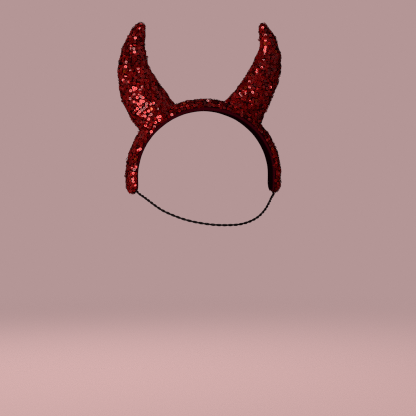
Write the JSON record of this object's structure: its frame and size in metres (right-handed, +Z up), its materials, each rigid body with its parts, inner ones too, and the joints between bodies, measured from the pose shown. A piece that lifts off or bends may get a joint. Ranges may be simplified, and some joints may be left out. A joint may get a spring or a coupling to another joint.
{
  "type": "devil horns headband",
  "caption": "Padded sequin-covered head arch with a pair of stuffed curved horns, a lining cloth on the inside and a thin elastic cord behind the head.",
  "frame": {"origin": "inside top of the band, in the middle of its width, where it sits on the head", "axes": "+Z up through the top of the head, +X towards the wearer's left, -Y the way the wearer faces"},
  "size_m": [0.1797, 0.0976, 0.2152],
  "materials": {
    "sequin_cloth": "dark red knitted mesh covered with small shiny metallised plastic sequins",
    "lining_cloth": "smooth matte burgundy cloth",
    "elastic": "matte black twisted elastic cord"
  },
  "bodies": {
    "root": {"band": "sequin_cloth", "band_lining": "lining_cloth", "horn_left": "sequin_cloth", "horn_right": "sequin_cloth", "elastic_cord": "elastic"}
  },
  "joints": []
}
